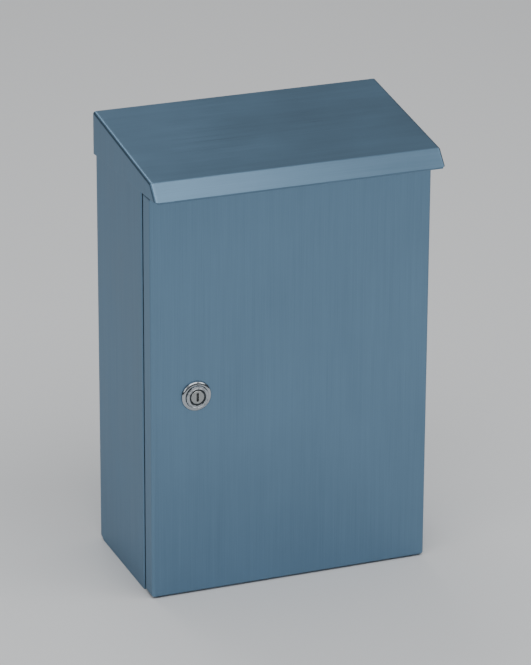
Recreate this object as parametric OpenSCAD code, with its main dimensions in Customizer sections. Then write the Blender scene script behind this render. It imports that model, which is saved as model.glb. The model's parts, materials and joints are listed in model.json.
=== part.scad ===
// Wall mailbox in folded stainless sheet: a body that is open at the top and
// front, a hinged roof over the mail mouth, and a locking door.
// X runs across the box, +Y towards the wall and +Z up. Millimetres.
// The origin is under the middle of the overall footprint, at the base.

/* [Body] */
// Width of the body over its side walls
body_w = 255; // [225:1:320]
// Depth from the door's face to the wall
body_d = 138; // [110:1:180]
// Height of the roof's rear edge above the base
roof_h = 403; // [330:1:480]
// Thickness of the folded sheet
sheet_t = 1; // [0.8:0.1:1.2]
// Outer radius of the folded edges of the door and the roof
bend_r = 2.5; // [2.5:0.5:4]
// Outer radius of the body's folded corners
corner_r = 1.2; // [1.2:0.1:2.5]
// Radius of the lower rear corners, seen from the side
heel_r = 6.5; // [4:0.5:10]
// Width of the inward flange that frames the door opening
jamb_w = 14; // [12:1:20]
// Height of the floor pan's upturned edges
pan_h = 14; // [8:1:20]

/* [Roof] */
// How far the roof falls from its rear edge to its front fold
roof_fall = 18; // [8:1:30]
// How far the front fold stands out from the door's face
fold_out = 9.5; // [6:0.5:14]
// How far the lip's lower edge stands out from the door's face
lip_out = 22; // [15:1:30]
// Height of the lip, from the fold to its lower edge
lip_drop = 14; // [10:1:20]
// Length of the hem that is folded back inside the lip's lower edge
hem_l = 8; // [5:0.5:9]
// How far the roof's sides stand out from the body, to their outer faces
roof_side = 3.5; // [3:0.5:6]
// Depth of the roof's sides at the rear
skirt_rear = 38.5; // [30:0.5:50]
// Space between the roof sheet and the body's upper edges
lid_gap = 3; // [2:0.5:5]

/* [Door] */
// Depth of the door's folded edges
door_depth = 17; // [15:1:22]
// Gap between the door and the body's frame
door_gap = 5; // [3.5:0.5:6]
// Height of the door's lower edge above the base
door_lift = 1; // [1:0.5:3]
// Gap between the door's upper edge and the roof's lip
door_top_gap = 3; // [3:0.5:8]
// Distance of the pivot from the door's side and from its folded edge's end
pivot_in = 4; // [4:0.5:6]
// Radius of the pivot pins
pivot_r = 2; // [1.5:0.1:2.2]

/* [Lock] */
// Distance of the lock's axis from the left side of the door
lock_in = 40.5; // [36:0.5:60]
// Height of the lock's axis above the base
lock_z = 185; // [120:1:250]
// Radius of the rosette round the lock
rosette_r = 13.5; // [12:0.5:17]
// Radius of the lock's head
lock_head_r = 10; // [9.5:0.1:11]
// Radius of the threaded barrel
barrel_r = 9; // [8:0.1:9]
// Radius of the turning plug
plug_r = 6; // [5.8:0.1:6.4]
// Length of the cam from its axis
cam_reach = 34; // [31:0.5:38]

/* [Roof hinge] */
// Outer radius of the knuckles
knuckle_r = 3; // [2.5:0.1:3.5]
// Radius of the hinge rod
rod_r = 1.5; // [1.2:0.1:1.7]
// Length of one knuckle along the rod
knuckle_l = 20; // [15:1:25]
// Thickness of the hinge leaves
leaf_t = 0.8; // [0.6:0.1:1]
// Width of the hinge leaves, measured from the rod
leaf_w = 20; // [18:1:26]

/* [Wall fixing] */
// Radius of the four fixing holes
wall_hole_r = 3.6; // [2.5:0.1:5]
// Distance between the holes, side to side
wall_hole_dx = 180; // [140:5:200]
// Distance between the holes, up and down
wall_hole_dz = 260; // [200:5:280]
// Height of the middle of the hole pattern
wall_hole_z = 190; // [165:5:200]

/* [Hidden] */
$fn = 64;

steel = "#8f9aa6";
steel_inner = "#7f8892";
chrome = "#c3c9cf";
zinc = "#a3a6a3";
brass = "#b59a5a";
rubber = "#2b2c2e";
nylon = "#dcdcd6";

// How far a cut runs past the face it opens
over = 1;
// How far two solids of one piece run into each other, so that they join
join = 0.01;
hole_play = 0.1;
// Least inner radius of a fold
tight_r = 0.2;
// Planes across the depth
wall_y = (body_d + lip_out) / 2;
door_y = wall_y - body_d;
jamb_y = door_y + door_depth + door_gap;
fold_y = door_y - fold_out;
lip_y = door_y - lip_out;
side_x = body_w / 2;
inner_x = side_x - sheet_t;
roof_x = side_x + roof_side;

// Room that keeps the knuckles off the roof and the back
knuckle_room = 0.3;

// The roof's plane. The sheet ends straight above the hinge's axis.
hinge_y = wall_y - sheet_t - knuckle_r - knuckle_room;
fold_z = roof_h - roof_fall;
lip_z = fold_z - lip_drop;
roof_angle = atan2(roof_fall, hinge_y - fold_y);
function roof_z(y) = roof_h - (hinge_y - y) * tan(roof_angle);
function rim_z(y) = roof_z(y) - sheet_t / cos(roof_angle) - lid_gap;
hinge_z = roof_h - (sheet_t + knuckle_r + knuckle_room) / cos(roof_angle);
skirt_z = roof_h - skirt_rear;
// The lip's lower edge is a bead that stands a little proud of the sheet's faces.
bead_r = 1.08 * sheet_t;
bead_y = lip_y + bead_r;
lip_angle = atan2(lip_drop, fold_y - bead_y) - asin(sheet_t / norm([fold_y - bead_y, lip_drop]));
lip_end = [bead_y - sheet_t * sin(lip_angle), lip_z + sheet_t * cos(lip_angle)];
hem_clear = 1;
// The back and the rear ends of the sides stop below the turning roof.
back_top_z = hinge_z - knuckle_r - 0.5;
rear_step = 1.5;

// Door
door_z0 = door_lift;
door_z1 = lip_z - door_top_gap;
pivot_x = side_x - pivot_in;
pivot_y = door_y + door_depth - pivot_in;
pivot_play = 0.06;
washer_t = 0.8;
washer_room = 1;
bracket_t = 2;
bracket_leg_t = 1.2;
bracket_leg_h = 16;
bracket_edge = 0.3;
bracket_inset = 1;
lower_tab_z = door_z0 + sheet_t + washer_room;
upper_tab_z = door_z1 - sheet_t - washer_room - bracket_t;
// The door's reliefs leave room for the brackets' necks when it stands open.
relief_y = pivot_y - pivot_in - 2;
relief_h = washer_room + bracket_t + 2.5;
pin_head_r = 3.2;
pin_head_h = 1.2;
// The lower pin stops above the base and the upper one stands over the door's edge.
base_clear = 0.3;
pin_stand = 1;

// Lock, measured from the door's face along the axis
lock_x = -side_x + lock_in;
strike_t = 1.5;
strike_h = 36;
cam_t = 2;
cam_clear = 0.6;
cam_y0 = jamb_y - door_y + sheet_t + strike_t + cam_clear;
cam_y1 = cam_y0 + cam_t;
cam_half_w = 7.5;
// The barrel ends short of the cam, and has a flat on each side.
barrel_short = 1;
barrel_end = cam_y0 - barrel_short;
barrel_flat = barrel_r - 1;
lock_play = 0.05;
head_h = 4.5;
head_edge = 1;
head_recess = 1.2;
head_recess_r = plug_r + 1.7;
plug_sunk = 0.4;
rosette_h = 2.6;
drive = 6;
drive_short = 0.2;
key_w = 2;
key_h = 8;
key_deep = 13;
nut_flat = 24;
nut_t = 3.5;
star_t = 0.8;
star_r = 12.3;
star_teeth = 14;
star_cut = 1.3;
wafer_count = 5;
wafer_t = 1.2;
wafer_pitch = 2.4;
wafer_w = 7.2;
wafer_gap = 0.1;
wafer_lift = 0.3;
window_w = 3.2;
window_h = 6.4;
screw_r = 1.95;
screw_head_r = 3.8;
screw_head_h = 2.4;
screw_in = 9;
screw_end = 1;
cross_l = 4.4;
cross_w = 0.9;
cross_deep = 1.2;
cam_washer_t = 0.8;
cam_washer_r = 5.2;
cam_washer_play = 0.2;

// Top rail and roof buffers
rail_drop = 26;
rail_flange = 14;
buffer_r = 4;
buffer_play = 0.2;
buffer_x = side_x * 0.63;

// Roof hinge
knuckle_gap = 0.3;
rod_play = 0.05;
// The leaves lie just off what they are fixed to.
weld_gap = 0.02;
leaf_top = knuckle_r + knuckle_room - weld_gap;
knuckle_pairs = floor((body_w - 2 * bend_r - 20) / (2 * knuckle_l) - 0.5);
hinge_n = 2 * knuckle_pairs + 1;
hinge_len = hinge_n * knuckle_l;
leaf_start = knuckle_r + 0.4;
rivet_r = 1.6;
rivet_play = 0.05;
rivet_head_r = 3;
rivet_head_h = 1.2;
rivet_n = 4;
rivet_z = hinge_z - (leaf_start + leaf_w) / 2;

// Drain holes in the floor pan
drain_r = 3;
drain_x = side_x - 30;
drain_y = [jamb_y + 20, wall_y - 22];

// ---------------------------------------------------------------- helpers

// A box given by its lowest and highest corners.
module span(lo, hi) {
    translate(lo) cube(hi - lo);
}

// Carries a profile drawn in (y, z) across the box from x0 to x1.
module across(x0, x1) {
    translate([x0, 0, 0]) rotate([90, 0, 90]) linear_extrude(x1 - x0) children();
}

// A plain rectangle from (x0, y0) to (x1, y1) with all corners rounded.
module round_rect(x0, y0, x1, y1, r) {
    translate([x0 + r, y0]) square([x1 - x0 - 2 * r, y1 - y0]);
    translate([x0, y0 + r]) square([x1 - x0, y1 - y0 - 2 * r]);
    for (x = [x0 + r, x1 - r], y = [y0 + r, y1 - r])
        translate([x, y]) circle(r);
}

// The same, with only the two corners at y0 rounded.
module round_front(x0, y0, x1, y1, r) {
    translate([x0 + r, y0]) square([x1 - x0 - 2 * r, y1 - y0]);
    translate([x0, y0 + r]) square([x1 - x0, y1 - y0 - r]);
    for (x = [x0 + r, x1 - r]) translate([x, y0 + r]) circle(r);
}

// A side view of the body: a rectangle whose lower rear corner is rounded.
module heel_profile(y0, y1, z0, z1, r) {
    translate([y0, z0]) square([y1 - y0 - r, z1 - z0]);
    translate([y0, z0 + r]) square([y1 - y0, z1 - z0 - r]);
    translate([y1 - r, z0 + r]) circle(r);
}

// Plan of the body at its outer face (inset 0) or further in.
module body_plan(inset) {
    round_rect(-side_x + inset, jamb_y + inset, side_x - inset,
               wall_y - inset, max(corner_r - inset, tight_r));
}

// Stands its children on the lock's axis, with local +Z into the box.
module on_lock() {
    translate([lock_x, door_y, lock_z]) rotate([-90, 0, 0]) children();
}

module tube(r, bore, h) {
    difference() {
        cylinder(r = r, h = h);
        translate([0, 0, -over]) cylinder(r = bore, h = h + 2 * over);
    }
}

// ------------------------------------------------------------------- body

module body_shell() {
    color(steel) difference() {
        intersection() {
            linear_extrude(roof_h) body_plan(0);
            across(-side_x - over, side_x + over)
                heel_profile(jamb_y - over, wall_y, 0, roof_h, heel_r);
        }
        translate([0, 0, -over]) linear_extrude(roof_h + 2 * over) body_plan(sheet_t);
        // Door opening between the jambs
        span([-side_x + jamb_w, jamb_y - over, -over],
             [side_x - jamb_w, jamb_y + sheet_t + bend_r, roof_h + over]);
        // Lower edge of the back, where the floor pan turns up
        span([-inner_x + bend_r, wall_y - 2 * sheet_t, -over],
             [inner_x - bend_r, wall_y + over, heel_r]);
        // Upper edges, under the slope of the roof
        across(-side_x - over, side_x + over)
            polygon([[jamb_y - over, rim_z(jamb_y - over)], [wall_y + over, rim_z(wall_y + over)],
                     [wall_y + over, roof_h + over], [jamb_y - over, roof_h + over]]);
        span([-side_x - over, hinge_y - knuckle_r - rear_step, back_top_z],
             [side_x + over, wall_y + over, roof_h + over]);
        for (x = [-1, 1], z = [-1, 1])
            translate([x * wall_hole_dx / 2, wall_y + over, wall_hole_z + z * wall_hole_dz / 2])
                rotate([90, 0, 0]) cylinder(r = wall_hole_r, h = sheet_t + 2 * over);
        rivet_places(rivet_r + rivet_play);
    }
}

module floor_pan() {
    y0 = jamb_y + sheet_t;
    y1 = wall_y - sheet_t;
    color(steel_inner) difference() {
        intersection() {
            across(-inner_x, inner_x)
                heel_profile(y0, y1, 0, pan_h, heel_r - sheet_t);
            linear_extrude(pan_h) body_plan(sheet_t);
        }
        intersection() {
            across(-inner_x + sheet_t, inner_x - sheet_t)
                heel_profile(y0 + sheet_t, y1 - sheet_t, sheet_t, pan_h + over,
                             heel_r - 2 * sheet_t);
            linear_extrude(pan_h + over) body_plan(2 * sheet_t);
        }
        for (x = [-1, 1], y = drain_y)
            translate([x * drain_x, y, -over]) cylinder(r = drain_r, h = sheet_t + 2 * over);
    }
}

// Angle that ties the sides together above the door and carries the buffers.
module top_rail() {
    y0 = jamb_y + sheet_t;
    y1 = y0 + rail_flange;
    drop = sheet_t / cos(roof_angle);
    color(steel_inner) intersection() {
        across(-inner_x, inner_x) polygon([
            [y0, rim_z(y0) - rail_drop], [y0, rim_z(y0)], [y1, rim_z(y1)],
            [y1, rim_z(y1) - drop], [y0 + sheet_t, rim_z(y0 + sheet_t) - drop],
            [y0 + sheet_t, rim_z(y0) - rail_drop]
        ]);
        linear_extrude(roof_h) body_plan(sheet_t);
    }
}

module roof_buffers() {
    y = jamb_y + sheet_t + rail_flange / 2;
    color(rubber) for (x = [-buffer_x, buffer_x])
        translate([x, y, rim_z(y)]) rotate([roof_angle, 0, 0])
            cylinder(r = buffer_r, h = lid_gap * cos(roof_angle) - buffer_play);
}

// Doubler behind the left jamb, where the cam bears.
module strike_plate() {
    y0 = jamb_y + sheet_t;
    color(zinc) span([-inner_x + bend_r, y0, lock_z - strike_h / 2],
                     [-side_x + jamb_w, y0 + strike_t, lock_z + strike_h / 2]);
}

// ---------------------------------------------------------- door's pivots

// Plan of a bracket's tab: an eye on the pivot with a neck back to the jamb.
module tab_plan() {
    r = pivot_in - bracket_edge;
    difference() {
        union() {
            translate([pivot_x, pivot_y]) circle(r);
            translate([pivot_x - r, pivot_y]) square([2 * r, jamb_y - pivot_y]);
        }
        translate([pivot_x, pivot_y]) circle(pivot_r);
    }
}

module bracket(tab_z, leg_z0, leg_z1) {
    color(steel_inner) {
        translate([0, 0, tab_z]) linear_extrude(bracket_t) tab_plan();
        span([side_x - jamb_w + bracket_inset, jamb_y - bracket_leg_t, leg_z0],
             [side_x - bend_r, jamb_y, leg_z1]);
    }
}

module lower_bracket() {
    bracket(lower_tab_z, lower_tab_z, lower_tab_z + bracket_leg_h);
}

module upper_bracket() {
    top = upper_tab_z + bracket_t;
    bracket(upper_tab_z, top - bracket_leg_h, top);
}

module lower_pivot_pin() {
    head_z = lower_tab_z + bracket_t;
    color(zinc) translate([pivot_x, pivot_y, 0]) {
        translate([0, 0, base_clear]) cylinder(r = pivot_r, h = head_z - base_clear + join);
        translate([0, 0, head_z]) cylinder(r = pin_head_r, h = pin_head_h);
    }
}

module upper_pivot_pin() {
    color(zinc) translate([pivot_x, pivot_y, 0]) {
        translate([0, 0, upper_tab_z - join])
            cylinder(r = pivot_r, h = door_z1 + pin_stand - upper_tab_z);
        translate([0, 0, upper_tab_z - pin_head_h]) cylinder(r = pin_head_r, h = pin_head_h);
    }
}

module pivot_washers() {
    r = pivot_in - bracket_edge;
    color(nylon) for (z = [door_z0 + sheet_t + (washer_room - washer_t) / 2,
                           upper_tab_z + bracket_t + (washer_room - washer_t) / 2])
        translate([pivot_x, pivot_y, z]) tube(r, pivot_r + pivot_play, washer_t);
}

// ------------------------------------------------------------- roof hinge

// One knuckle's barrel, from the left end of the hinge.
module knuckle(i) {
    translate([-hinge_len / 2 + i * knuckle_l + knuckle_gap / 2, 0, 0])
        rotate([0, 90, 0]) cylinder(r = knuckle_r, h = knuckle_l - knuckle_gap);
}

module knuckle_tongue(i) {
    x0 = -hinge_len / 2 + i * knuckle_l + knuckle_gap / 2;
    span([x0, -leaf_start - join, leaf_top - leaf_t], [x0 + knuckle_l - knuckle_gap, 0, leaf_top]);
}

// A leaf that lies along local -Y just over the barrel, with every second knuckle.
module leaf(first) {
    difference() {
        union() {
            span([-hinge_len / 2, -leaf_w, leaf_top - leaf_t],
                 [hinge_len / 2, -leaf_start, leaf_top]);
            for (i = [first : 2 : hinge_n - 1]) {
                knuckle(i);
                knuckle_tongue(i);
            }
        }
        translate([-hinge_len / 2 - over, 0, 0]) rotate([0, 90, 0])
            cylinder(r = rod_r + rod_play, h = hinge_len + 2 * over);
    }
}

// Cylinders of radius r through the fixed leaf and the back.
module rivet_places(r) {
    for (i = [0 : rivet_n - 1])
        translate([hinge_len * ((i + 0.5) / rivet_n - 0.5), wall_y, rivet_z])
            rotate([90, 0, 0]) cylinder(r = r, h = sheet_t + weld_gap + leaf_t);
}

module hinge_leaf_fixed() {
    color(steel_inner) difference() {
        translate([0, hinge_y, hinge_z]) rotate([-90, 0, 0]) mirror([0, 1, 0]) leaf(0);
        rivet_places(rivet_r + rivet_play);
    }
}

module hinge_leaf_moving() {
    color(steel_inner) translate([0, hinge_y, hinge_z]) rotate([roof_angle, 0, 0]) leaf(1);
}

module hinge_rod() {
    color(zinc) translate([-hinge_len / 2, hinge_y, hinge_z])
        rotate([0, 90, 0]) cylinder(r = rod_r, h = hinge_len);
}

module hinge_rivets() {
    dome = (pow(rivet_head_r, 2) + pow(rivet_head_h, 2)) / (2 * rivet_head_h);
    color(zinc) {
        rivet_places(rivet_r);
        for (i = [0 : rivet_n - 1])
            translate([hinge_len * ((i + 0.5) / rivet_n - 0.5),
                       wall_y - sheet_t - weld_gap - leaf_t, rivet_z])
                rotate([90, 0, 0]) intersection() {
                    cylinder(r = 2 * rivet_head_r, h = rivet_head_h + over);
                    translate([0, 0, rivet_head_h - dome]) sphere(dome);
                }
    }
}

// ------------------------------------------------------------------- roof

// Side view of the roof, with a straight lower edge from the rear to the lip.
module roof_side_view() {
    polygon([[hinge_y, skirt_z], [hinge_y, roof_h], [fold_y, fold_z], lip_end]);
}

// The space under the roof sheet, a sheet's thickness inside its top and lip.
module roof_hollow_view() {
    down = sheet_t / cos(roof_angle);
    back = sheet_t / sin(lip_angle);
    // Where the inner faces of the top and the lip meet
    slope = tan(roof_angle);
    steep = tan(lip_angle);
    y = (fold_z - steep * (fold_y + back) - (fold_z - down - slope * fold_y)) / (slope - steep);
    z = fold_z - down + slope * (y - fold_y);
    far = 50;
    polygon([[hinge_y + far, z + slope * (hinge_y + far - y)], [y, z],
             [y - far, z - steep * far], [hinge_y + far, z - steep * far]]);
}

// The bead along the lip's lower edge and the hem that lies inside the lip.
module hem_view() {
    translate([bead_y, lip_z]) {
        circle(bead_r);
        rotate(lip_angle) translate([0, -sheet_t]) square([hem_l, 1.5 * sheet_t]);
    }
}

module roof_lid() {
    hem_x = roof_x - sheet_t - hem_clear;
    color(steel) {
        difference() {
            across(-roof_x, roof_x) roof_side_view();
            across(-roof_x + sheet_t, roof_x - sheet_t) roof_hollow_view();
        }
        across(-hem_x, hem_x) hem_view();
    }
}

// ------------------------------------------------------------------- door

// The door's outer form, or its hollow when inset by the sheet.
module door_form(inset, rear) {
    r = bend_r - inset;
    intersection() {
        translate([0, 0, door_z0 + inset]) linear_extrude(door_z1 - door_z0 - 2 * inset)
            round_front(-side_x + inset, door_y + inset, side_x - inset, rear, r);
        across(-side_x, side_x) intersection() {
            round_rect(door_y + inset, door_z0 + inset, rear + 2 * bend_r,
                       door_z1 - inset, r);
            translate([door_y, 0]) square([rear - door_y, roof_h]);
        }
    }
}

module door_panel() {
    rear = door_y + door_depth;
    color(steel) difference() {
        door_form(0, rear);
        door_form(sheet_t, rear + over);
        for (z = [door_z0 - over, door_z1 - sheet_t - over])
            translate([pivot_x, pivot_y, z])
                cylinder(r = pivot_r + pivot_play, h = sheet_t + 2 * over);
        // Reliefs that let the right edge swing past the brackets
        for (z = [door_z0 + sheet_t, door_z1 - sheet_t - relief_h])
            span([side_x - 2 * sheet_t, relief_y, z], [side_x + over, rear + over, z + relief_h]);
        on_lock() translate([0, 0, -over]) linear_extrude(sheet_t + 2 * over)
            barrel_section(hole_play);
    }
}

// ------------------------------------------------------------------- lock

// Round barrel with a flat on each side.
module barrel_section(play) {
    intersection() {
        circle(barrel_r + play);
        square([2 * (barrel_flat + play), 3 * barrel_r], center = true);
    }
}

module lock_rosette() {
    bore = lock_head_r + lock_play;
    color(chrome) on_lock() rotate([180, 0, 0]) rotate_extrude()
        difference() {
            union() {
                translate([bore, 0]) square([rosette_r - bore - rosette_h / 2, rosette_h]);
                translate([bore, 0]) square([rosette_r - bore, rosette_h / 2]);
                translate([rosette_r - rosette_h / 2, rosette_h / 2]) circle(rosette_h / 2);
            }
            translate([bore, -rosette_h]) square([rosette_r, rosette_h]);
        }
}

module lock_body() {
    bore = plug_r + lock_play;
    color(chrome) on_lock() difference() {
        union() {
            translate([0, 0, -head_h + head_edge])
                cylinder(r = lock_head_r, h = head_h - head_edge);
            translate([0, 0, -head_h])
                cylinder(r1 = lock_head_r - head_edge, r2 = lock_head_r, h = head_edge);
            translate([0, 0, -join]) linear_extrude(barrel_end) barrel_section(0);
        }
        translate([0, 0, -head_h - over])
            cylinder(r = bore, h = head_h + barrel_end + 2 * over);
        translate([0, 0, -head_h - over])
            cylinder(r = head_recess_r, h = head_recess + over);
    }
}

module lock_washer() {
    color(zinc) on_lock() translate([0, 0, sheet_t]) difference() {
        tube(star_r, barrel_r + lock_play, star_t);
        for (i = [0 : star_teeth - 1]) rotate(i * 360 / star_teeth)
            translate([star_r - star_cut, -star_cut / 2, -over])
                cube([star_cut + over, star_cut, star_t + 2 * over]);
    }
}

module lock_nut() {
    color(zinc) on_lock() translate([0, 0, sheet_t + star_t]) difference() {
        cylinder(r = nut_flat / 2 / cos(30), h = nut_t, $fn = 6);
        translate([0, 0, -over]) cylinder(r = barrel_r + lock_play, h = nut_t + 2 * over);
    }
}

function wafer_place(i) = 1 + i * wafer_pitch;

module lock_plug() {
    color(brass) on_lock() difference() {
        union() {
            translate([0, 0, -head_h + plug_sunk])
                cylinder(r = plug_r, h = head_h - plug_sunk + barrel_end);
            translate([-drive / 2, -drive / 2, barrel_end - join])
                cube([drive, drive, cam_y1 - barrel_end - drive_short]);
        }
        translate([-key_w / 2, -key_h / 2, -head_h]) cube([key_w, key_h, head_h + key_deep]);
        for (i = [0 : wafer_count - 1])
            translate([-wafer_w / 2 - wafer_gap, -plug_r - over, wafer_place(i) - wafer_gap])
                cube([wafer_w + 2 * wafer_gap, 2 * (plug_r + over), wafer_t + 2 * wafer_gap]);
        translate([0, 0, cam_y1 - screw_in])
            cylinder(r = screw_r + lock_play, h = screw_in + over);
    }
}

// Flat tumblers, each with a window for the key, lifted to different heights.
module lock_wafers() {
    color(brass) on_lock() for (i = [0 : wafer_count - 1])
        translate([0, 0, wafer_place(i)]) difference() {
            intersection() {
                cylinder(r = plug_r - wafer_gap, h = wafer_t);
                translate([-wafer_w / 2, -plug_r, 0]) cube([wafer_w, 2 * plug_r, wafer_t]);
            }
            translate([-window_w / 2, -window_h / 2 - wafer_lift * (1 - i % 3), -over])
                cube([window_w, window_h, wafer_t + 2 * over]);
        }
}

// The cam stands upright while the door is unlocked.
module lock_cam() {
    color(zinc) on_lock() translate([0, 0, cam_y0]) difference() {
        union() {
            cylinder(r = cam_half_w, h = cam_t);
            translate([-cam_half_w, -cam_reach + cam_half_w, 0])
                cube([2 * cam_half_w, cam_reach - cam_half_w, cam_t]);
            translate([0, -cam_reach + cam_half_w, 0]) cylinder(r = cam_half_w, h = cam_t);
        }
        translate([-drive / 2 - lock_play, -drive / 2 - lock_play, -over])
            cube([drive + 2 * lock_play, drive + 2 * lock_play, cam_t + 2 * over]);
    }
}

module cam_washer() {
    color(zinc) on_lock() translate([0, 0, cam_y1])
        tube(cam_washer_r, screw_r + cam_washer_play, cam_washer_t);
}

module cam_screw() {
    seat = cam_y1 + cam_washer_t;
    color(zinc) on_lock() difference() {
        union() {
            translate([0, 0, cam_y1 - screw_in + screw_end])
                cylinder(r = screw_r, h = screw_in);
            translate([0, 0, seat]) cylinder(r = screw_head_r, h = screw_head_h);
        }
        // Cross recess
        for (a = [0, 90]) translate([0, 0, seat + screw_head_h - cross_deep]) rotate(a)
            translate([-cross_l / 2, -cross_w / 2, 0]) cube([cross_l, cross_w, cross_deep + over]);
    }
}

body_shell();
floor_pan();
top_rail();
strike_plate();
lower_bracket();
upper_bracket();
lower_pivot_pin();
upper_pivot_pin();
pivot_washers();
roof_buffers();
hinge_leaf_fixed();
hinge_rivets();
hinge_rod();
hinge_leaf_moving();
roof_lid();
door_panel();
lock_rosette();
lock_body();
lock_washer();
lock_nut();
lock_plug();
lock_wafers();
lock_cam();
cam_washer();
cam_screw();
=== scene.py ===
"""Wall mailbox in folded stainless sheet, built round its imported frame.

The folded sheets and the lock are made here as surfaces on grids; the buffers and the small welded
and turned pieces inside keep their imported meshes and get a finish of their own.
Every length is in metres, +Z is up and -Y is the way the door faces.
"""

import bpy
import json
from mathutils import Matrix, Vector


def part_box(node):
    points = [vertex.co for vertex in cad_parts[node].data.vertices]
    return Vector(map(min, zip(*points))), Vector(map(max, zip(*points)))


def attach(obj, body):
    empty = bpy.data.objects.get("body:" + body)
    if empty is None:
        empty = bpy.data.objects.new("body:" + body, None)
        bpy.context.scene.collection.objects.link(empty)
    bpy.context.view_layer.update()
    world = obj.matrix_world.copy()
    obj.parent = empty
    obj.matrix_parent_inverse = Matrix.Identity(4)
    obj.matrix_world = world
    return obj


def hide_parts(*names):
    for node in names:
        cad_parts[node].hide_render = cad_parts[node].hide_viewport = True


bl_info = {
    "name": "Folded Sheet Mailbox",
    "version": (1, 0, 0),
    "blender": (4, 5, 0),
    "location": "3D View > Sidebar > Mailbox",
    "description": "Builds a locking wall mailbox with a hinged roof, piece by piece",
    "category": "Add Mesh",
}

import json
import math

import bmesh
import bpy
import numpy as np
from bpy.props import FloatProperty, FloatVectorProperty, IntProperty, PointerProperty
from mathutils import Matrix, Vector

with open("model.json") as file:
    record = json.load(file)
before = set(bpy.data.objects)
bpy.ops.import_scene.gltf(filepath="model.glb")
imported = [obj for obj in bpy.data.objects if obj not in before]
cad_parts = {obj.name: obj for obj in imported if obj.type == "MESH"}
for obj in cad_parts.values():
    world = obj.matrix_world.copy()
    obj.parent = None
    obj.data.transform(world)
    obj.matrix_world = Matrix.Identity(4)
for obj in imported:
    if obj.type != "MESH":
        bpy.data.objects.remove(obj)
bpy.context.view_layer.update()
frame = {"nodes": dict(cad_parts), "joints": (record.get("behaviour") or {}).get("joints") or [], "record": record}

MM = 0.001
GRAIN = "grain"

# The lock's barrel, its thread and the room round it in the door's hole
BARREL_R = 9 * MM
BARREL_FLAT = 8 * MM
BARREL_PLAY = 0.1 * MM
THREAD_DEPTH = 0.55 * MM


def box(node):
    """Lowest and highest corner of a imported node, as arrays."""
    low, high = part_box(node)
    return np.array(low), np.array(high)


SHELL_LOW, SHELL_HIGH = box("body_shell")
DOOR_LOW, DOOR_HIGH = box("door_panel")
ROOF_LOW, ROOF_HIGH = box("roof_lid")
HEAD_LOW, HEAD_HIGH = box("lock_body")
PLUG_LOW, PLUG_HIGH = box("lock_plug")
ROSETTE_LOW, ROSETTE_HIGH = box("lock_rosette")
NUT_LOW, NUT_HIGH = box("lock_nut")
RIVETS_LOW, RIVETS_HIGH = box("hinge_rivets")
JOINTS = {joint["name"]: joint for joint in frame["joints"]}
MOUNTS = {mount["name"]: mount for mount in frame["record"]["mounts"]}

WALL_Y = SHELL_HIGH[1]
JAMB_Y = SHELL_LOW[1]
DOOR_Y = DOOR_LOW[1]
LOCK = (ROSETTE_LOW + ROSETTE_HIGH) / 2
ROOF_HINGE = np.array(JOINTS["roof_hinge"]["pos_m"])


# ---------------------------------------------------------------- settings


def length(name, text, default, low=0.0):
    """A length in metres with the checks and the unit that the panel shows."""
    return FloatProperty(name=name, description=text, default=default, min=low, unit="LENGTH")


class MailboxSizes(bpy.types.PropertyGroup):
    """Sizes of the folded sheets and of the lock's details."""

    sheet: length("Sheet", "Thickness of the folded sheet", 1.0 * MM)
    bend: length("Bend", "Outer radius of the folded edges", 2.5 * MM)
    edge: length("Edge", "Width of the broken edge along a cut sheet", 0.16 * MM)
    wave: length("Waviness", "How far the large flat faces wander", 0.16 * MM)
    jamb: length("Jamb", "Width of the flange beside the door opening", 14 * MM)
    jamb_bend: length("Jamb bend", "Outer radius of the body's folded corners", 1.2 * MM)
    heel: length("Heel", "Radius of the lower rear corners", 6.5 * MM)
    lid_gap: length("Roof gap", "Space between the roof and the rims", 3.0 * MM)
    roof_fall: length("Roof fall", "How far the roof falls to its front fold", 18 * MM)
    fold_out: length("Fold overhang", "How far the front fold stands out", 9.5 * MM)
    lip_drop: length("Lip height", "Height of the lip", 14 * MM)
    hem: length("Hem", "Length of the hem inside the lip", 8 * MM)
    relief_depth: length("Relief", "Depth at which the door's reliefs begin", 7 * MM)
    relief_high: length("Relief height", "Height of the door's reliefs", 5.5 * MM)
    thread_pitch: length("Thread pitch", "Pitch of the lock's thread", 1.25 * MM)
    key_wide: length("Key slot width", "Width of the key slot", 1.9 * MM)
    key_high: length("Key slot height", "Height of the key slot", 7.6 * MM)
    turns: IntProperty(
        name="Turn parts", description="Flats round a turned piece", default=96, min=24
    )


class MailboxFinish(bpy.types.PropertyGroup):
    """Colours and grain of the finishes."""

    steel: FloatVectorProperty(
        name="Steel", description="Colour of the brushed sheet", subtype="COLOR",
        size=3, default=(0.155, 0.258, 0.368), min=0, max=1,
    )
    steel_rough: FloatProperty(
        name="Steel roughness", description="Roughness of the brushed sheet", default=0.34, min=0, max=1
    )
    steel_grain: FloatProperty(
        name="Grain", description="How far the brushing stretches reflections",
        default=0.7, min=0, max=1,
    )
    inner_steel: FloatVectorProperty(
        name="Inner steel", description="Colour of the sheet as rolled", subtype="COLOR",
        size=3, default=(0.33, 0.37, 0.41), min=0, max=1,
    )
    chrome: FloatVectorProperty(
        name="Chrome", description="Colour of the lock's plating", subtype="COLOR",
        size=3, default=(0.44, 0.47, 0.50), min=0, max=1,
    )


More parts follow.
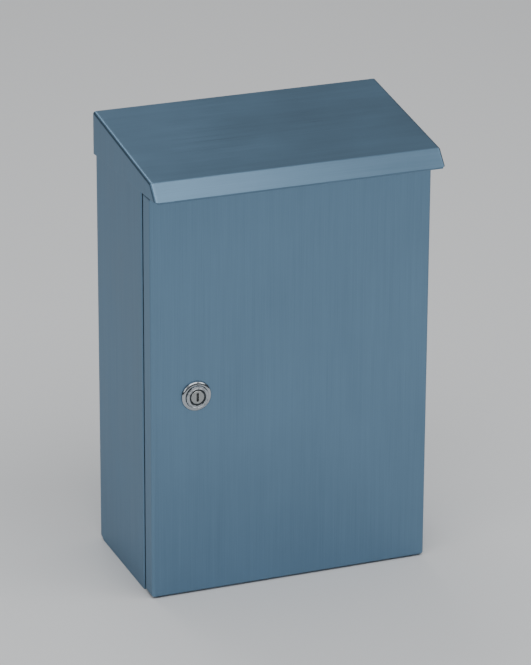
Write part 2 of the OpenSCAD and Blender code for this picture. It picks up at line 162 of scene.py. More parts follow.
class MailboxStudio(bpy.types.PropertyGroup):
    """Camera, lights and floor."""

    azimuth: FloatProperty(
        name="Azimuth", description="Camera's turn round the box", subtype="ANGLE",
        default=math.radians(-21.36),
    )
    elevation: FloatProperty(
        name="Elevation", description="Camera's height above the horizon", subtype="ANGLE",
        default=math.radians(21.77),
    )
    roll: FloatProperty(
        name="Roll", description="Camera's tilt about its own axis", subtype="ANGLE",
        default=math.radians(0.266),
    )
    distance: length("Distance", "Camera's distance from the point it looks at", 3.3412)
    lens: FloatProperty(name="Lens", description="Focal length in millimetres", default=206.55, min=1)
    aim: FloatVectorProperty(
        name="Aim", description="The point that the camera looks at", subtype="XYZ",
        unit="LENGTH", size=3, default=(0.0077, 0.0229, 0.1994),
    )
    floor: FloatVectorProperty(
        name="Floor", description="Colour of the floor", subtype="COLOR",
        size=3, default=(0.80, 0.81, 0.82), min=0, max=1,
    )


def settings(context):
    """The sizes and the finish that the panel holds."""
    return context.scene.mailbox_sizes, context.scene.mailbox_finish


# ------------------------------------------------------------ arrays of points


def grid_quads(rows, columns, closed=False):
    """Quads between neighbouring points of a grid numbered row by row.

    Quad (i, j) joins points i*columns + j, the next row's, and both next columns'. A closed
    grid also joins its last column to its first.
    """
    i = np.arange(rows - 1)[:, None]
    j = np.arange(columns if closed else columns - 1)[None, :]
    k = (j + 1) % columns
    corners = [i * columns + j, (i + 1) * columns + j, (i + 1) * columns + k, i * columns + k]
    return np.stack(np.broadcast_arrays(*corners), -1).reshape(-1, 4)


def joined(parts):
    """One set of arrays out of several (points, quads) sets, with the numbers shifted."""
    shifts = np.cumsum([0] + [len(points) for points, _ in parts[:-1]])
    points = np.concatenate([points for points, _ in parts])
    quads = np.concatenate([quads + shift for (_, quads), shift in zip(parts, shifts)])
    return points, quads


def ruled(marks, step):
    """Every mark, with each gap between two marks split evenly into parts of at most step."""
    marks = np.unique(np.round(marks, 8))
    spans = [
        np.linspace(a, b, max(1, math.ceil((b - a) / step - 1e-6)) + 1)[:-1]
        for a, b in zip(marks[:-1], marks[1:])
    ]
    return np.concatenate(spans + [marks[-1:]])


HOLE_PARTS = 8


def hole_marks(centre, half):
    """The lines that cross the square block round a hole, HOLE_PARTS to a side."""
    return centre + half * np.linspace(-1, 1, HOLE_PARTS + 1)


def hole_rings(centre, half, outline):
    """Rings that turn a square block's outline into a hole's.

    Ring w is hole + (square - hole) * w, and the hole's point at an angle is outline(angle)
    away from the centre. Near the hole the rings lie close together.
    """
    t = np.linspace(-1, 1, HOLE_PARTS + 1)[:-1]
    one = np.ones_like(t)
    square = half * np.concatenate(
        [np.stack(side, -1) for side in ((t, -one), (one, t), (-t, one), (-one, -t))]
    )
    angle = np.arctan2(square[:, 1], square[:, 0])
    hole = outline(angle)[:, None] * np.stack([np.cos(angle), np.sin(angle)], -1)
    share = np.array([0, 0.06, 0.25, 0.6, 1.0])[:, None, None]
    rings = np.asarray(centre) + hole + (square - hole) * share
    return rings.reshape(-1, 2), grid_quads(len(share), len(square), closed=True)


def plate(us, vs, holes=()):
    """Flat grid over the lines us and vs, with a block of rings in place of each hole."""
    u, v = np.meshgrid(us, vs, indexing="ij")
    points = np.stack([u.ravel(), v.ravel()], -1)
    quads = grid_quads(len(us), len(vs))
    middles = points[quads].mean(1)
    keep = np.ones(len(quads), bool)
    for centre, half, _ in holes:
        keep &= np.abs(middles - centre).max(1) > half
    return joined([(points, quads[keep])] + [hole_rings(*hole) for hole in holes])


def round_hole(radius):
    """Outline of a round hole: the same radius at every angle."""
    return lambda angle: np.full_like(angle, radius)


def two_flat_hole(radius, flat):
    """Outline of a hole with a flat on each side: the circle, or the flat where it is nearer."""
    return lambda angle: np.minimum(radius, flat / np.maximum(np.abs(np.cos(angle)), 1e-6))


def rounded_path(corners, radius, parts=6):
    """A line through flat corners, each turned into an arc of one radius.

    An arc starts radius * tan(turn / 2) before its corner and turns evenly in parts. Returns
    the distance along the line, the points and the heading at each point.
    """
    corners = np.asarray(corners, float)
    legs = np.diff(corners, axis=0)
    headings = np.unwrap(np.arctan2(legs[:, 1], legs[:, 0]))
    points, angles = [corners[:1]], [headings[:1]]
    for corner, before, after in zip(corners[1:-1], headings[:-1], headings[1:]):
        turn = after - before
        side = np.sign(turn)
        ahead = np.array([math.cos(before), math.sin(before)])
        start = corner - radius * abs(math.tan(turn / 2)) * ahead
        centre = start + side * radius * np.array([-math.sin(before), math.cos(before)])
        a = before + turn * np.linspace(0, 1, parts + 1)
        points.append(centre + side * radius * np.stack([np.sin(a), -np.cos(a)], -1))
        angles.append(a)
    points = np.concatenate(points + [corners[-1:]])
    angles = np.concatenate(angles + [headings[-1:]])
    distance = np.concatenate([[0], np.cumsum(np.linalg.norm(np.diff(points, axis=0), axis=1))])
    return distance, points, angles


def wander(a, b, seed, fade):
    """Slow waves of height -1 to 1 over a flat face, from a few sines of seeded direction.

    fade is 0 at the folded edges and 1 in the middle, and scales the waves.
    """
    random = np.random.default_rng(seed)
    total = np.zeros_like(a)
    for _ in range(5):
        turn, phase = random.uniform(0, math.tau, 2)
        pitch = random.uniform(0.11, 0.30)
        total += np.sin((a * math.cos(turn) + b * math.sin(turn)) * math.tau / pitch + phase)
    return total / 5 * fade


def edge_fade(x, low, high, reach):
    """0 at both ends of a span and 1 further than reach inside it, with a smooth step between."""
    t = np.clip(np.minimum(x - low, high - x) / reach, 0, 1)
    return t * t * (3 - 2 * t)


# ------------------------------------------------------------------- meshes


def add_object(name, data):
    """A linked object that holds the data."""
    made = bpy.data.objects.new(name, data)
    bpy.context.scene.collection.objects.link(made)
    return made


def new_piece(name, points, quads, flat=None):
    """A mesh object from arrays. flat holds each point's place on the unfolded sheet, grain first."""
    mesh = bpy.data.meshes.new(name)
    mesh.from_pydata(np.asarray(points).tolist(), [], np.asarray(quads).tolist())
    if flat is not None:
        layer = mesh.uv_layers.new(name=GRAIN)
        corners = np.empty(len(mesh.loops), np.int32)
        mesh.loops.foreach_get("vertex_index", corners)
        layer.data.foreach_set("uv", np.asarray(flat)[corners].astype(np.float32).ravel())
    return add_object(name, mesh)


def weld(piece, recalculate=False, below=None):
    """Merges points that coincide and drops what no face uses.

    below is a plane (point, normal); what lies on the normal's far side of it is cut away.
    """
    bm = bmesh.new()
    bm.from_mesh(piece.data)
    if below is not None:
        everything = bm.verts[:] + bm.edges[:] + bm.faces[:]
        bmesh.ops.bisect_plane(
            bm, geom=everything, dist=1e-7, plane_co=below[0], plane_no=below[1], clear_inner=True
        )
    bmesh.ops.remove_doubles(bm, verts=bm.verts[:], dist=4e-6)
    bmesh.ops.dissolve_degenerate(bm, edges=bm.edges[:], dist=1e-7)
    bmesh.ops.delete(bm, geom=[v for v in bm.verts if not v.link_faces], context="VERTS")
    if recalculate:
        bmesh.ops.recalc_face_normals(bm, faces=bm.faces[:])
    for face in bm.faces:
        face.smooth = True
    bm.to_mesh(piece.data)
    bm.free()


def into_one(name, pieces):
    """Joins pieces that share a surface into one object."""
    bm = bmesh.new()
    for piece in pieces:
        bm.from_mesh(piece.data)
        bpy.data.meshes.remove(piece.data)
    mesh = bpy.data.meshes.new(name)
    bm.to_mesh(mesh)
    bm.free()
    return add_object(name, mesh)


def thicken(piece, sizes):
    """Gives a folded surface its thickness, away from its outer face, and breaks the cut edges."""
    wall = piece.modifiers.new("Sheet", "SOLIDIFY")
    wall.thickness = sizes.sheet
    wall.offset = -1
    wall.use_even_offset = True
    wall.use_quality_normals = True
    round_edges(piece, sizes.edge, 2, 50)


def solid(name, arrays, *edge):
    """A closed piece from (points, quads), its edges rounded by a width, segments and an angle."""
    piece = new_piece(name, *arrays)
    weld(piece, recalculate=True)
    if edge:
        round_edges(piece, *edge)
    return piece


def round_edges(piece, width, segments, angle):
    """Rounds every edge sharper than the angle, and keeps the flats' shading flat."""
    bevel = piece.modifiers.new("Edges", "BEVEL")
    bevel.width = width
    bevel.segments = segments
    bevel.limit_method = "ANGLE"
    bevel.angle_limit = math.radians(angle)
    bevel.use_clamp_overlap = True
    normals = piece.modifiers.new("Normals", "WEIGHTED_NORMAL")
    normals.weight = 80


def place(piece, body, slot, material, *nodes):
    """Gives the piece its materials, rides it on its body and hides the nodes that it stands for. slot is not
    used.
    """
    piece.data.materials.clear()
    for each in material if isinstance(material, (list, tuple)) else [material]:
        piece.data.materials.append(each)
    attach(piece, body)
    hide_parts(*nodes)


# ---------------------------------------------------------------- materials


class Finish:
    """A material under construction: its node tree, its shader and short ways to add nodes."""

    def __init__(self, name, metallic, roughness, colour):
        self.material = bpy.data.materials.new(name)
        self.material.use_nodes = True
        self.tree = self.material.node_tree
        self.shader = self.tree.nodes["Principled BSDF"]
        self.shader.inputs["Metallic"].default_value = metallic
        self.shader.inputs["Roughness"].default_value = roughness
        self.shader.inputs["Base Color"].default_value = (*colour, 1)

    def node(self, kind, **values):
        """A node with properties by name and sockets given as a dictionary called sockets."""
        sockets = values.pop("sockets", {})
        made = self.tree.nodes.new(kind)
        for name, value in values.items():
            setattr(made, name, value)
        for name, value in sockets.items():
            if isinstance(value, bpy.types.NodeSocket):
                self.tree.links.new(value, made.inputs[name])
            else:
                made.inputs[name].default_value = value
        return made

    def link(self, output, socket):
        self.tree.links.new(output, self.shader.inputs[socket])

    def place(self, grain=False):
        """Places on the unfolded sheet, or else in the object's own space."""
        if grain:
            return self.node("ShaderNodeUVMap", uv_map=GRAIN).outputs["UV"]
        return self.node("ShaderNodeTexCoord").outputs["Object"]

    def noise(self, place, scale, detail=2.0, turn=(0, 0, 0), shift=(0, 0, 0), rough=0.55):
        """Noise from 0 to 1 whose pitch differs by axis: scale is in cells per metre."""
        mapped = self.node(
            "ShaderNodeMapping",
            sockets={"Vector": place, "Scale": scale, "Rotation": turn, "Location": shift},
        )
        return self.node(
            "ShaderNodeTexNoise",
            sockets={"Vector": mapped.outputs[0], "Scale": 1.0, "Detail": detail, "Roughness": rough},
        ).outputs["Fac"]

    def ranged(self, value, low, high, from_low=0.3, from_high=0.7):
        """A value carried from one range to another, clamped."""
        return self.node(
            "ShaderNodeMapRange",
            sockets={
                "Value": value, "From Min": from_low, "From Max": from_high,
                "To Min": low, "To Max": high,
            },
        ).outputs[0]

    def maths(self, operation, a, b):
        return self.node("ShaderNodeMath", operation=operation, sockets={0: a, 1: b}).outputs[0]

    def shade(self, colour, factor):
        """The colour multiplied by a grey value."""
        sockets = {0: colour, "Scale": factor}
        return self.node("ShaderNodeVectorMath", operation="SCALE", sockets=sockets).outputs[0]

    def bump(self, height, distance, strength=1.0, after=None):
        """Raises the surface by height times distance."""
        made = self.node(
            "ShaderNodeBump",
            sockets={"Height": height, "Distance": distance, "Strength": strength},
        )
        if after is not None:
            self.tree.links.new(after, made.inputs["Normal"])
        return made.outputs["Normal"]


def brushed_sheet(name, finish, tint=1.0, seed=0.0):
    """Brushed stainless: hair-fine, fine and broad streaks along the grain, with soft handling marks.

    The streaks read the unfolded sheet, so they run round every fold with the metal.
    """
    colour = tuple(tint * c for c in finish.steel)
    made = Finish(name, 1.0, finish.steel_rough, colour)
    flat = made.place(grain=True)
    shift = (seed, 3.1 * seed, 0)
    hair = made.noise(flat, (14, 3600, 1), 3.0, shift=shift)
    fine = made.noise(flat, (9, 1300, 1), 3.0, shift=shift, rough=0.65)
    broad = made.noise(flat, (3.5, 190, 1), 3.0, shift=shift, rough=0.6)
    cloud = made.noise(flat, (9, 13, 1), 4.0, shift=shift)
    streak = made.maths("ADD", made.ranged(hair, -0.05, 0.05), made.ranged(fine, -0.055, 0.055))
    streak = made.maths("ADD", streak, made.ranged(broad, -0.03, 0.03))
    tone = made.maths("ADD", made.maths("ADD", streak, made.ranged(cloud, -0.05, 0.05)), 1.0)
    made.link(made.shade(colour, tone), "Base Color")
    rough = made.maths("ADD", made.ranged(fine, -0.05, 0.05), made.ranged(cloud, -0.025, 0.04))
    made.link(made.maths("ADD", rough, finish.steel_rough), "Roughness")
    # Sparse long scratches, where the noise comes near the top of its range
    scratch = made.noise(flat, (16, 900, 1), 1.0, shift=(seed + 7.7, 2.0, 0), turn=(0, 0, 0.004))
    scratch = made.ranged(scratch, 0.0, 1.0, 0.74, 0.80)
    relief = made.bump(made.maths("ADD", hair, fine), 0.006 * MM, 0.8)
    relief = made.bump(broad, 0.02 * MM, 0.5, after=relief)
    relief = made.bump(scratch, -0.02 * MM, 0.6, after=relief)
    made.link(relief, "Normal")
    made.shader.inputs["Anisotropic"].default_value = finish.steel_grain
    made.shader.inputs["Anisotropic Rotation"].default_value = 0.25
    made.shader.inputs["Specular Tint"].default_value = (0.8, 0.8, 0.8, 1)
    tangent = made.node("ShaderNodeTangent", direction_type="UV_MAP", uv_map=GRAIN)
    made.link(tangent.outputs[0], "Tangent")
    return made.material


def rolled_sheet(name, colour, roughness=0.46):
    """Stainless as rolled: matt, clouded, with faint lines along X."""
    made = Finish(name, 1.0, roughness, colour)
    spot = made.place()
    lines = made.noise(spot, (18, 900, 900), 3.0)
    cloud = made.noise(spot, (26, 26, 26), 4.0)
    tone = made.maths("ADD", made.ranged(lines, -0.06, 0.06), made.ranged(cloud, 0.93, 1.06))
    made.link(made.shade(colour, tone), "Base Color")
    made.link(made.maths("ADD", made.ranged(cloud, -0.06, 0.07), roughness), "Roughness")
    made.link(made.bump(lines, 0.01 * MM, 0.6), "Normal")
    return made.material


def plated(name, colour, roughness, cloud_pitch=160, spread=0.05):
    """Plated metal: a smooth coat with soft clouds and hair scratches in all directions."""
    made = Finish(name, 1.0, roughness, colour)
    spot = made.place()
    cloud = made.noise(spot, (cloud_pitch,) * 3, 4.0)
    grit = made.noise(spot, (2600,) * 3, 2.0)
    tone = made.maths("ADD", made.ranged(cloud, -spread, spread), 1.0)
    made.link(made.shade(colour, tone), "Base Color")
    rough = made.maths("ADD", made.ranged(cloud, -0.4 * roughness, 0.5 * roughness), roughness)
    made.link(rough, "Roughness")
    made.link(made.bump(grit, 0.004 * MM, 0.5), "Normal")
    return made.material


def moulded(name, colour, roughness, grain_pitch, depth):
    """Rubber or nylon: a fine even texture with slightly mottled colour."""
    made = Finish(name, 0.0, roughness, colour)
    spot = made.place()
    grain = made.noise(spot, (grain_pitch,) * 3, 3.0)
    cloud = made.noise(spot, (240,) * 3, 3.0)
    made.link(made.shade(colour, made.ranged(cloud, 0.85, 1.15)), "Base Color")
    made.link(made.maths("ADD", made.ranged(grain, -0.05, 0.08), roughness), "Roughness")
    made.link(made.bump(grain, depth, 0.6), "Normal")
    return made.material


def material(name, maker, *values):
    """The named material, made the first time that a piece asks for it."""
    found = bpy.data.materials.get(name)
    return found if found is not None else maker(name, *values)


def chrome_plate(finish):
    """The lock's bright plating."""
    return material("Chrome, lock", plated, tuple(finish.chrome), 0.07)


def zinc_plate():
    """Dull clouded plating on the small steel pieces."""
    return material("Zinc plate", plated, (0.42, 0.44, 0.45), 0.36, 300, 0.09)


# -------------------------------------------------------------- folded sheets


class MAILBOX_OT_body(bpy.types.Operator):
    """Folds the body's back, sides and jambs out of one sheet"""

    bl_idname = "mailbox.body"
    bl_label = "Body sheet"

    def execute(self, context):
        sizes, finish = settings(context)
        side = SHELL_HIGH[0]
        plan = [
            (-side + sizes.jamb, JAMB_Y), (-side, JAMB_Y), (-side, WALL_Y),
            (side, WALL_Y), (side, JAMB_Y), (side - sizes.jamb, JAMB_Y),
        ]
        along, ground, _ = rounded_path(plan, sizes.jamb_bend)
        first = np.argmax(ground[:, 1] > WALL_Y - 1e-7)
        back_start, back_left = along[first], ground[first, 0]
        roof_slope = sizes.roof_fall / (ROOF_HIGH[1] - (DOOR_Y - sizes.fold_out))
        back_top = ROOF_HINGE[2] - 3.5 * MM
        step_y = ROOF_HINGE[1] - 4.5 * MM

        # Holes in the back: the wall fixing's four and the hinge rivets' row
        fixing = MOUNTS["wall_fixing"]
        reach_x, reach_z = (fixing["dims"][k] * MM / 2 for k in ("spacing_x_mm", "spacing_y_mm"))
        middle_z = fixing["pos_m"][2]
        rivet_z = (RIVETS_LOW[2] + RIVETS_HIGH[2]) / 2
        rivet_reach = RIVETS_HIGH[0] - 3 * MM
        rivets = np.linspace(-rivet_reach, rivet_reach, 4)
        rivet_hole_r = 1.65 * MM
        wall_half, rivet_half = 9 * MM, 3.6 * MM

        def at(x, z):
            return np.array([back_start + x - back_left, z])

        holes = [
            (at(x, middle_z + z), wall_half, round_hole(fixing["dims"]["hole_r_mm"] * MM))
            for x in (-reach_x, reach_x) for z in (-reach_z, reach_z)
        ]
        holes += [(at(x, rivet_z), rivet_half, round_hole(rivet_hole_r)) for x in rivets]
        # The step in the sides' upper edges takes two lines very close together.
        steps = [
            np.interp(y, ground[s, 1][::d], along[s][::d]) for s, d in (
                (slice(len(along) // 2), 1), (slice(len(along) // 2, None), -1))
            for y in (step_y - 0.02 * MM, step_y + 0.02 * MM)
        ]
        us = ruled(
            np.concatenate([along, steps] + [hole_marks(h[0][0], h[1]) for h in holes]), 14 * MM
        )
        low_line, high_line = 9 * MM, 372 * MM
        vs = ruled(
            np.concatenate(
                [[0, low_line, high_line, back_top]] + [hole_marks(h[0][1], h[1]) for h in holes]
            ),
            16 * MM,
        )
        flat, quads = plate(us, vs, holes)
        x = np.interp(flat[:, 0], along, ground[:, 0])
        y = np.interp(flat[:, 0], along, ground[:, 1])
        # The lower edge follows the heel's arc, and the upper edge the roof's slope.
        inside = np.clip(y - (WALL_Y - sizes.heel), 0, sizes.heel)
        bottom = sizes.heel - np.sqrt(sizes.heel**2 - inside**2)
        rim = ROOF_HIGH[2] - (ROOF_HIGH[1] - y) * roof_slope - sizes.sheet - sizes.lid_gap
        top = np.where(y > step_y, back_top, rim)
        v = flat[:, 1]
        z = np.where(v < low_line, bottom + v * (low_line - bottom) / low_line, v)
        stretch = (top - high_line) / (back_top - high_line)
        z = np.where(v > high_line, high_line + (v - high_line) * stretch, z)
        fade_z = edge_fade(z, 0.01, 0.36, 0.05)
        on_side = edge_fade(y, JAMB_Y + 0.004, WALL_Y - 0.004, 0.03) * (np.abs(x) > side - 0.1 * MM)
        on_back = edge_fade(x, -side, side, 0.05) * (y > WALL_Y - 0.1 * MM) * (z < 0.35)
        x = x + sizes.wave * wander(y, z, 3, fade_z * on_side)
        y = y - np.abs(sizes.wave * wander(x, z, 4, fade_z * on_back))
        piece = new_piece(
            "body_sheet", np.stack([x, y, z], -1), quads[:, ::-1], np.stack([z, flat[:, 0]], -1)
        )
        weld(piece)
        thicken(piece, sizes)
        steel = material("Brushed steel, body", brushed_sheet, finish, 0.96, 2.0)
        place(piece, "body", "brushed_stainless", steel, "body_shell")
        return {"FINISHED"}


class MAILBOX_OT_door(bpy.types.Operator):
    """Folds the door: a flat face with the lock's hole and four folded edges"""

    bl_idname = "mailbox.door"
    bl_label = "Door"

    def execute(self, context):
        sizes, finish = settings(context)
        r = sizes.bend
        x0, x1 = DOOR_LOW[0] + r, DOOR_HIGH[0] - r
        z0, z1 = DOOR_LOW[2] + r, DOOR_HIGH[2] - r
        depth = DOOR_HIGH[1] - DOOR_Y
        centre = LOCK[[0, 2]]
        half = 14 * MM
        relief_top = DOOR_LOW[2] + sizes.sheet + sizes.relief_high
        relief_low = DOOR_HIGH[2] - sizes.sheet - sizes.relief_high
        step, band = 9 * MM, 1.5 * MM
        x_marks = [x0, x0 + band, x1 - band, x1]
        z_marks = [z0, z0 + band, relief_top, relief_low, z1 - band, z1]
        xs = ruled(np.concatenate([x_marks, hole_marks(centre[0], half)]), step)
        zs = ruled(np.concatenate([z_marks, hole_marks(centre[1], half)]), step)

        # Face
        lock_hole = two_flat_hole(BARREL_R + BARREL_PLAY, BARREL_FLAT + BARREL_PLAY)
        flat, quads = plate(xs, zs, [(centre, half, lock_hole)])
        near_lock = np.exp(-((np.linalg.norm(flat - centre, axis=1) / (30 * MM)) ** 4))
        fade = edge_fade(flat[:, 0], x0, x1, 0.05) * edge_fade(flat[:, 1], z0, z1, 0.06)
        fade = fade * (1 - near_lock)
        face_y = DOOR_Y + sizes.wave * wander(flat[:, 0], flat[:, 1], 1, fade)
        face = np.stack([flat[:, 0], face_y, flat[:, 1]], -1)

        # Border: the outline of the face, carried along the fold's profile
        outline, outward = self.outline(xs, zs)
        turn = np.linspace(0, math.pi / 2, 7)
        edge = np.array([r + 0.6 * MM, sizes.relief_depth, 0.5 * (sizes.relief_depth + depth), depth])
        out = np.concatenate([r * np.sin(turn), np.full(len(edge), r)])
        back = np.concatenate([r * (1 - np.cos(turn)), edge])
        run = np.concatenate([r * turn, r * math.pi / 2 + edge - r])
        rim = outline[None] + out[:, None, None] * outward[None]
        depths = DOOR_Y + np.broadcast_to(back[:, None], rim.shape[:2])
        border = np.stack([rim[..., 0], depths, rim[..., 1]], -1)
        border_flat = outline[None] + run[:, None, None] * outward[None]
        border_quads = grid_quads(len(out), len(outline), closed=True)
        middle = border.reshape(-1, 3)[border_quads].mean(1)
        deep = middle[:, 1] > DOOR_Y + sizes.relief_depth
        relief = deep & (middle[:, 0] > x1 + 0.3 * r) & (
            ((middle[:, 2] < relief_top) & (middle[:, 2] > DOOR_LOW[2] + 0.7 * sizes.sheet))
            | ((middle[:, 2] > relief_low) & (middle[:, 2] < DOOR_HIGH[2] - 0.7 * sizes.sheet))
        )
        # A fine open seam at each corner, where two folded edges meet
        diagonal, near = r * math.sqrt(0.5), 0.2 * MM
        corner = np.abs(np.abs(middle[:, 0]) - (x1 + diagonal)) < near
        low_end = np.abs(middle[:, 2] - (z0 - diagonal)) < near
        high_end = np.abs(middle[:, 2] - (z1 + diagonal)) < near
        seam = corner & (low_end | high_end) & (middle[:, 1] > DOOR_Y + r + 0.5 * MM)
        border_quads = border_quads[~relief & ~seam]

        points, all_quads = joined([(face, quads), (border.reshape(-1, 3), border_quads)])
        flats = np.concatenate([flat, border_flat.reshape(-1, 2)])
        piece = new_piece("door_skin", points, all_quads, flats[:, ::-1])
        weld(piece)
        thicken(piece, sizes)
        steel = material("Brushed steel, door", brushed_sheet, finish, 1.0, 0.0)
        place(piece, "door", "brushed_stainless", steel, "door_panel")
        return {"FINISHED"}

    @staticmethod
    def outline(xs, zs):
        """The face's outline, counter-clockwise, and the way out from it at each point.

        Each corner repeats its point while the way out turns through a right angle.
        """
        turn = np.radians([15, 30, 41, 49, 60, 75])
        sides, ways = [], []
        corners = [(xs[-1], zs[0]), (xs[-1], zs[-1]), (xs[0], zs[-1]), (xs[0], zs[0])]
        pairs = [
            (xs, np.full_like(xs, zs[0])), (np.full_like(zs, xs[-1]), zs),
            (xs[::-1], np.full_like(xs, zs[-1])), (np.full_like(zs, xs[0]), zs[::-1]),
        ]
        lines = [np.stack(pair, -1) for pair in pairs]
        for i, (line, corner) in enumerate(zip(lines, corners)):
            facing = (i - 1) * math.pi / 2
            sides += [line, np.tile(corner, (len(turn), 1))]
            angle = np.concatenate([np.full(len(line), facing), facing + turn])
            ways.append(np.stack([np.cos(angle), np.sin(angle)], -1))
        return np.concatenate(sides), np.concatenate(ways)


class MAILBOX_OT_roof(bpy.types.Operator):
    """Folds the roof: slope, lip with its hem, and a skirt down each side"""

    bl_idname = "mailbox.roof"
    bl_label = "Roof"

    def execute(self, context):
        sizes, finish = settings(context)
        r, t = sizes.bend, sizes.sheet
        half = ROOF_HIGH[0]
        rear = np.array([ROOF_HIGH[1], ROOF_HIGH[2]])
        fold = np.array([DOOR_Y - sizes.fold_out, ROOF_HIGH[2] - sizes.roof_fall])
        # The lip's outer face is tangent to the bead along its lower edge.
        bead_r = 1.08 * t
        bead = np.array([ROOF_LOW[1] + bead_r, fold[1] - sizes.lip_drop])
        reach = np.linalg.norm(fold - bead)
        lean = math.atan2(fold[1] - bead[1], fold[0] - bead[0]) - math.asin(t / reach)
        lip_end = bead + t * np.array([-math.sin(lean), math.cos(lean)])
        overrun = 4 * MM
        past = lip_end - overrun * np.array([math.cos(lean), math.sin(lean)])

        along, path, heading = rounded_path([rear, fold, past], r, parts=8)
        total = along[-1]
        lip_at = total - overrun
        s = ruled(np.concatenate([along, [1 * MM, lip_at]]), 12 * MM)
        line = np.stack([np.interp(s, along, path[:, k]) for k in (0, 1)], -1)
        angle = np.interp(s, along, heading)
        normal = np.stack([np.sin(angle), -np.cos(angle)], -1)
        centre = line - r * normal

        # Flat middle, from the rear edge to the lip's end
        flat_half, band = half - r, 1.5 * MM
        xs = ruled(np.array([-flat_half, flat_half, -flat_half + band, flat_half - band]), 12 * MM)
        rows = s <= lip_at + 1e-9
        slope_end = along[np.argmax(heading != heading[0])]
        fade = edge_fade(s[rows], 0, slope_end, 0.05)[:, None] * edge_fade(xs, xs[0], xs[-1], 0.05)
        grid_s, grid_x = np.meshgrid(s[rows], xs, indexing="ij")
        lift = sizes.wave * wander(grid_s, grid_x, 2, fade)
        top = np.stack([
            grid_x,
            line[rows, 0][:, None] + lift * normal[rows, 0][:, None],
            line[rows, 1][:, None] + lift * normal[rows, 1][:, None],
        ], -1)
        top_flat = np.stack([grid_x, grid_s], -1).reshape(-1, 2)
        top_piece = new_piece("roof_top", top.reshape(-1, 3), grid_quads(*grid_x.shape), top_flat)

        # Hem: half round the bead and back up inside the lip
        hub = lip_end + bead_r * np.array([math.sin(lean), -math.cos(lean)])
        swing = lean + math.pi / 2 + np.linspace(0, math.pi, 9)
        round_part = hub + bead_r * np.stack([np.cos(swing), np.sin(swing)], -1)
        inner_end = round_part[-1] + sizes.hem * np.array([math.cos(lean), math.sin(lean)])
        hem = np.concatenate([round_part, [inner_end]])
        hem_s = lip_at + np.concatenate([[0], np.cumsum(np.linalg.norm(np.diff(hem, axis=0), axis=1))])
        hem_rows, hem_x = np.meshgrid(hem_s, xs, indexing="ij")
        hem_y, hem_z = np.repeat(hem[:, :1], len(xs), 1), np.repeat(hem[:, 1:], len(xs), 1)
        hem_points = np.stack([hem_x, hem_y, hem_z], -1).reshape(-1, 3)
        hem_flat = np.stack([hem_x, hem_rows], -1).reshape(-1, 2)
        hem_piece = new_piece("roof_hem", hem_points, grid_quads(*hem_x.shape), hem_flat)

        # Sides: a round shoulder from the slope or the lip, then the skirt down to its edge
        low_rear = np.array([ROOF_HIGH[1], ROOF_LOW[2]])
        fall = (lip_end - low_rear) / np.linalg.norm(lip_end - low_rear)
        pieces = [top_piece, hem_piece]
        for way in (-1, 1):
            turn = np.linspace(0, math.pi / 2, 7)[None, :]
            out = half - r + r * np.sin(turn)
            shoulder = centre[:, None, :] + (r * np.cos(turn))[..., None] * normal[:, None, :]
            drop = np.linspace(0, 1, 9)[None, 1:]
            edge_z = low_rear[1] + (centre[:, 0] - low_rear[0]) * fall[1] / fall[0] - 9 * MM
            foot = np.stack([centre[:, 0], edge_z], -1)
            skirt = centre[:, None, :] + drop[..., None] * (foot - centre)[:, None, :]
            profile = np.concatenate([shoulder, skirt], 1)
            round_shape = shoulder.shape[:2]
            x = [np.broadcast_to(out, round_shape), np.full(skirt.shape[:2], half)]
            x = np.concatenate(x, 1)
            points = np.stack([way * x, profile[..., 0], profile[..., 1]], -1)
            fallen = np.linalg.norm(skirt - centre[:, None, :], axis=-1)
            arc = np.broadcast_to(half - r + r * turn, round_shape)
            across = np.concatenate([arc, half + r * (math.pi / 2 - 1) + fallen], 1)
            flat = np.stack([way * across, np.repeat(s[:, None], x.shape[1], 1)], -1)
            quads = grid_quads(*x.shape)
            quads = quads if way > 0 else quads[:, ::-1]
            piece = new_piece(f"roof_side_{way}", points.reshape(-1, 3), quads, flat.reshape(-1, 2))
            cut = Vector((0, lip_end[0], lip_end[1])), Vector((0, fall[1], -fall[0]))
            weld(piece, below=cut)
            pieces.append(piece)
        piece = into_one("roof_sheet", pieces)
        weld(piece)
        thicken(piece, sizes)
        steel = material("Brushed steel, roof", brushed_sheet, finish, 0.97, 5.0)
        place(piece, "roof", "brushed_stainless", steel, "roof_lid")
        return {"FINISHED"}


# ---------------------------------------------------------------------- lock


def facing_out(across, up, out):
    """Points on the lock: across and up from its axis, and out from the door's face."""
    return np.stack([LOCK[0] + across, DOOR_Y - out, LOCK[2] + up], -1)


def ringed(radius, out, angle):
    """Rings round the lock's axis, with the quads between them.

    radius and out give each ring its radius and its place along the axis, for every angle.
    """
    radius, out, angle = np.broadcast_arrays(radius, out, angle)
    points = facing_out(radius * np.cos(angle), radius * np.sin(angle), out)
    return points.reshape(-1, 3), grid_quads(*radius.shape, closed=True)


def turned(profile, turns):
    """A closed profile of (radius, out) pairs turned about the lock's axis."""
    profile = np.concatenate([profile, profile[:1]])
    angle = np.linspace(0, math.tau, turns, endpoint=False)
    return ringed(profile[:, :1], profile[:, 1:], angle)


def half_bead(centre, top, radius):
    """The upper half of a bead's section, from its inner side over its top."""
    swing = np.linspace(0, math.pi, 9)
    return np.stack([centre - radius * np.cos(swing), top - radius + radius * np.sin(swing)], -1)




